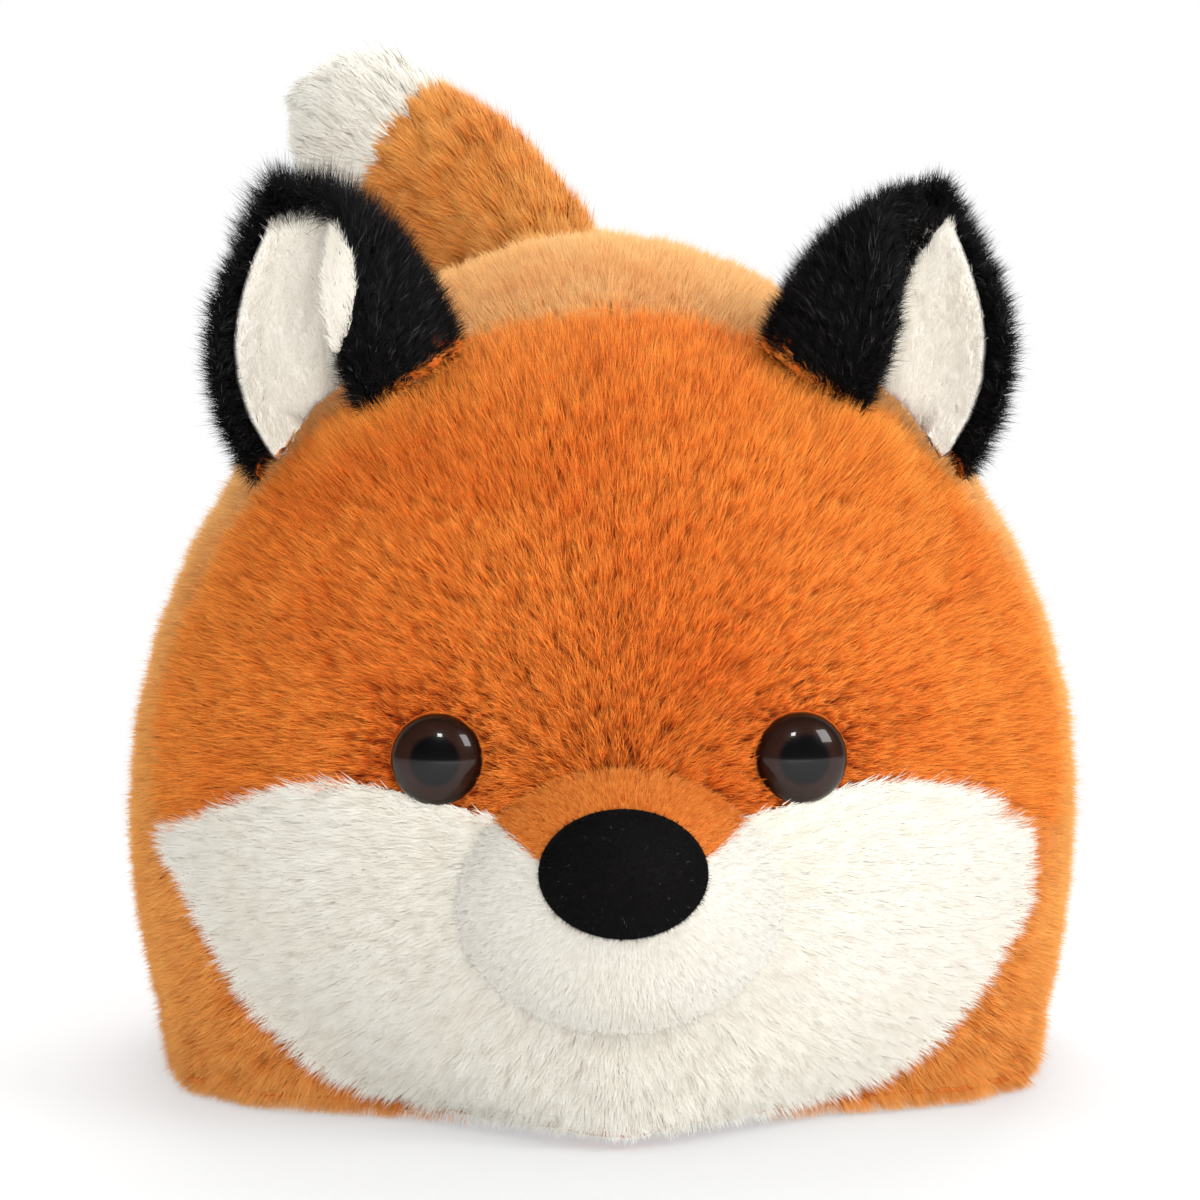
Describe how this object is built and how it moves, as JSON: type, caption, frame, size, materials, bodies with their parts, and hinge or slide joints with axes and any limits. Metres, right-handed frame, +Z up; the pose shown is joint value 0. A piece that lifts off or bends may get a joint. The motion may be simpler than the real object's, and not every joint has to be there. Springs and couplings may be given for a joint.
{
  "type": "plush fox",
  "caption": "Loaf-shaped plush fox lying on a flat belly, with upright curled ears, domed eyes, a rounded muzzle and a thick raised tail.",
  "frame": {"origin": "on the floor under the middle of the body, on the underside of the belly panel", "axes": "+Z up, -Y the way the face looks, +X towards the side at the right of the picture"},
  "size_m": [0.2066, 0.2855, 0.2225],
  "materials": {
    "orange_pile": "long plush pile",
    "white_pile": "long plush pile",
    "orange_short_pile": "short plush pile",
    "white_short_pile": "short plush pile",
    "black_pile": "medium plush pile",
    "lining_pile": "short plush pile",
    "nose_velour": "velour",
    "eye_brown": "polished",
    "eye_black": "moulded",
    "washer_white": "moulded",
    "belly_fabric": "short plush pile",
    "fibre": "loose polyester fibre",
    "pouch_cloth": "plain weave"
  },
  "bodies": {
    "root": {"bead_pouch": "pouch_cloth", "belly_panel": "belly_fabric", "body_panel_left": "orange_pile", "body_panel_right": "orange_pile", "body_stuffing": "fibre", "cheek_panel_left": "white_pile", "cheek_panel_right": "white_pile", "eye_dome_left": "eye_brown", "eye_dome_right": "eye_brown", "eye_post_left": "eye_black", "eye_post_right": "eye_black", "eye_washer_left": "washer_white", "eye_washer_right": "washer_white", "forehead_panel_left": "orange_pile", "forehead_panel_right": "orange_pile", "muzzle_lower": "white_short_pile", "muzzle_stuffing": "fibre", "muzzle_top": "orange_short_pile", "nose": "nose_velour"},
    "ear_left": {"ear_outer_left": "black_pile", "ear_lining_left": "lining_pile"},
    "ear_right": {"ear_outer_right": "black_pile", "ear_lining_right": "lining_pile"},
    "tail_root": {"tail_root": "fibre"},
    "tail": {"tail_sleeve": "orange_pile", "tail_tip": "white_pile", "tail_stuffing": "fibre"}
  },
  "joints": [
    {"name": "ear_left_bend", "type": "hinge", "parent": "root", "child": "ear_left", "pos_m": [-0.053, -0.056, 0.14208], "axis": [0.8746, 0, 0.4848], "range_deg": [-15, 10], "stiffness_Nm_per_rad": 0.03},
    {"name": "ear_right_bend", "type": "hinge", "parent": "root", "child": "ear_right", "pos_m": [0.053, -0.056, 0.1421], "axis": [0.8746, 0, -0.4848], "range_deg": [-15, 10], "stiffness_Nm_per_rad": 0.03},
    {"name": "tail_lift", "type": "hinge", "parent": "root", "child": "tail_root", "pos_m": [-0.00014, 0.09706, 0.15069], "axis": [1, 0, 0], "range_deg": [-15, 15], "stiffness_Nm_per_rad": 0.15},
    {"name": "tail_sway", "type": "hinge", "parent": "tail_root", "child": "tail", "pos_m": [-0.00014, 0.09706, 0.15069], "axis": [0, -0.66, 0.7513], "range_deg": [-15, 15], "stiffness_Nm_per_rad": 0.15}
  ]
}
